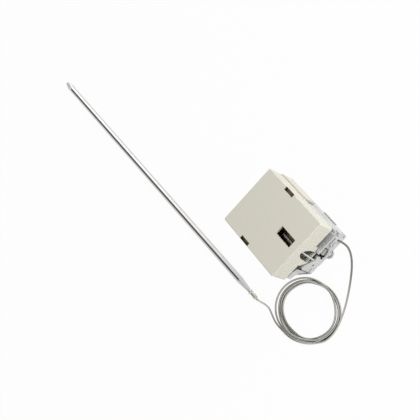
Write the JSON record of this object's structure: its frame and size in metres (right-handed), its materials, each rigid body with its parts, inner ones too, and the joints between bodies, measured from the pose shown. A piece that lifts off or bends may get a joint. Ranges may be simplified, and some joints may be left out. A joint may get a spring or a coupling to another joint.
{
  "type": "oven thermostat",
  "caption": "Capillary oven thermostat: pale casing on a folded steel chassis, D-shaped spindle, snap switch with push-on tabs, coiled capillary and long sensing bulb.",
  "frame": {"origin": "centre of the front plate's outer face, on the spindle axis, midway between the two fixing holes", "axes": "-Z along the spindle, out of the front plate towards the user; +Z out of the casing's back; +X towards the end where the capillary leaves"},
  "size_m": [0.2704, 0.0777, 0.056],
  "materials": {
    "thermoset": "pale moulded thermoset, satin",
    "zinc_steel": "bright zinc-plated sheet",
    "spring_steel": "satin spring steel",
    "stainless": "drawn stainless tube",
    "spindle_steel": "turned, plated",
    "brass": "turned brass",
    "silver": "silver contact",
    "insulator": "brown moulded insulator",
    "ceramic": "unglazed ceramic",
    "contact_alloy": "copper alloy strip",
    "solder": "soldered collar"
  },
  "bodies": {
    "thermostat": {"casing_cover": "thermoset", "casing_base": "thermoset", "chassis": "zinc_steel", "spindle_bush": "brass", "lever_pin": "zinc_steel", "capsule_holder": "zinc_steel", "holder_rivets": "zinc_steel", "capsule": "stainless", "capillary_inner": "stainless", "capillary_clamp": "zinc_steel", "clamp_rivet": "zinc_steel", "switch_plate": "insulator", "line_terminal": "brass", "load_terminal": "brass", "fixed_contact": "silver", "blade_rivet": "silver", "latch_strip": "zinc_steel", "cover_clips": "spring_steel", "earth_tab": "zinc_steel", "earth_rivet": "zinc_steel", "capillary_lead": "stainless", "capillary_coil": "stainless", "capillary_tail": "stainless", "bulb_ferrule": "solder", "bulb": "stainless"},
    "spindle_group": {"spindle": "spindle_steel", "spindle_clip": "spring_steel", "stop_disc": "zinc_steel"},
    "nut": {"adjusting_nut": "brass"},
    "lever": {"pressure_lever": "zinc_steel", "calibration_screw": "brass", "set_spring": "spring_steel"},
    "button": {"capsule_button": "stainless"},
    "push_pin": {"insulating_pin": "ceramic"},
    "blade": {"snap_blade": "contact_alloy", "moving_contact": "silver"}
  },
  "joints": [
    {"name": "spindle_turn", "type": "hinge", "parent": "thermostat", "child": "spindle_group", "pos_m": [0, 0, 0], "axis": [0, 0, 1], "range_deg": [0, 270]},
    {"name": "nut_travel", "type": "slide", "parent": "thermostat", "child": "nut", "axis": [0, 0, 1], "range_m": [-0.00061, 0], "deforming": ["set_spring"]},
    {"name": "lever_swing", "type": "hinge", "parent": "thermostat", "child": "lever", "pos_m": [-0.012, 0, 0.01], "axis": [0, -1, 0], "range_deg": [0, 1], "stiffness_Nm_per_rad": 0.05},
    {"name": "button_rise", "type": "slide", "parent": "thermostat", "child": "button", "axis": [0, 0, 1], "range_m": [0, 0.00042]},
    {"name": "pin_rise", "type": "slide", "parent": "thermostat", "child": "push_pin", "axis": [0, 0, 1], "range_m": [0, 0.00036]},
    {"name": "blade_snap", "type": "hinge", "parent": "thermostat", "child": "blade", "pos_m": [-0.0116, 0.0005, 0.0252], "axis": [0, -1, 0], "range_deg": [0, 1.1]}
  ],
  "couplings": [
    {"joint": "nut_travel", "follows": "spindle_turn", "m_per_rad": -0.00012732},
    {"joint": "button_rise", "follows": "lever_swing", "m_per_rad": 0.023},
    {"joint": "pin_rise", "follows": "lever_swing", "m_per_rad": 0.019},
    {"joint": "blade_snap", "follows": "lever_swing", "ratio": 1.0215}
  ]
}
